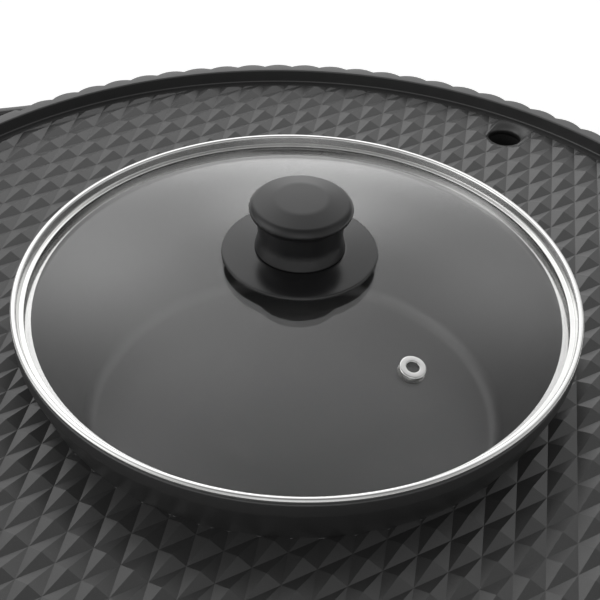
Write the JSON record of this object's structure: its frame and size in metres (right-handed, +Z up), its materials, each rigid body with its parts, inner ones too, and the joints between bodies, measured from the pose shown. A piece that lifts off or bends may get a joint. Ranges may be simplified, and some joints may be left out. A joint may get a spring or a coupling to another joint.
{
  "type": "electric griddle",
  "caption": "Round electric griddle with a ribbed non-stick cooking plate, a pot well under a domed glass lid in its middle, loop handles and a base with dials and a drip tray.",
  "frame": {"origin": "centre of the surface the griddle stands on, under the axis of the pot well and lid", "axes": "+Z up along the axis of the well and lid; +X towards a loop handle; +Y towards the fat drain; the dials face -Y"},
  "size_m": [0.52, 0.4576, 0.1586],
  "materials": {
    "nonstick_casting": "dark grey speckled non-stick coating on cast aluminium",
    "lid_glass": "clear tempered glass",
    "polished_steel": "polished stainless steel",
    "knob_plastic": "satin black phenolic",
    "silicone": "soft black silicone",
    "base_plastic": "fine-textured black plastic",
    "panel_plastic": "smooth dark grey plastic",
    "sheet_steel": "aluminised sheet steel",
    "element_sheath": "dull stainless heater sheath",
    "screw_steel": "zinc-plated steel",
    "ceramic": "white steatite",
    "foot_rubber": "black rubber",
    "thermostat_body": "brown phenolic moulding",
    "lens": "translucent red plastic",
    "contact_metal": "bright brass",
    "wire_sleeve": "braided glass sleeve"
  },
  "bodies": {
    "base": {"base_shell": "base_plastic", "control_panel": "panel_plastic", "bottom_cover": "base_plastic", "bottom_cover_screws": "screw_steel", "feet": "foot_rubber", "foot_screws": "screw_steel", "grill_reflector": "sheet_steel", "pot_reflector": "sheet_steel", "grill_element": "element_sheath", "pot_element": "element_sheath", "grill_element_brackets": "sheet_steel", "pot_element_brackets": "sheet_steel", "element_insulators": "ceramic", "plate_rests": "ceramic", "grill_thermostat": "thermostat_body", "pot_thermostat": "thermostat_body", "grill_lamp_lens": "lens", "pot_lamp_lens": "lens", "lamp_holders": "ceramic", "tray_rails": "base_plastic", "power_inlet": "knob_plastic", "inlet_pins": "contact_metal", "terminal_block": "ceramic", "terminal_screws": "screw_steel", "thermal_fuse": "sheet_steel", "sensor_bulbs": "contact_metal", "bulb_clips": "sheet_steel", "wiring": "wire_sleeve"},
    "plate": {"grill_plate": "nonstick_casting", "plate_rim": "nonstick_casting", "plate_well": "nonstick_casting", "plate_handles": "nonstick_casting", "drain_spout": "nonstick_casting"},
    "lid": {"lid_glass": "lid_glass", "lid_band": "polished_steel", "lid_vent_grommet": "polished_steel", "lid_knob": "knob_plastic", "lid_knob_guard": "knob_plastic", "lid_knob_gasket": "silicone", "lid_knob_washer": "polished_steel", "lid_knob_screw": "screw_steel"},
    "grill_dial": {"grill_dial": "knob_plastic", "grill_dial_shaft": "screw_steel"},
    "pot_dial": {"pot_dial": "knob_plastic", "pot_dial_shaft": "screw_steel"},
    "tray": {"drip_tray": "base_plastic"}
  },
  "joints": [
    {"name": "plate_lift", "type": "slide", "parent": "base", "child": "plate", "axis": [0, 0, 1], "range_m": [0, 0.12]},
    {"name": "lid_lift", "type": "slide", "parent": "plate", "child": "lid", "axis": [0, 0, 1], "range_m": [0, 0.12]},
    {"name": "grill_dial_turn", "type": "hinge", "parent": "base", "child": "grill_dial", "pos_m": [0.04, -0.21, 0.036], "axis": [0, -1, 0], "range_deg": [-270, 0]},
    {"name": "pot_dial_turn", "type": "hinge", "parent": "base", "child": "pot_dial", "pos_m": [-0.04, -0.21, 0.036], "axis": [0, -1, 0], "range_deg": [-270, 0]},
    {"name": "tray_slide", "type": "slide", "parent": "base", "child": "tray", "axis": [0, 1, 0], "range_m": [0, 0.08]}
  ]
}
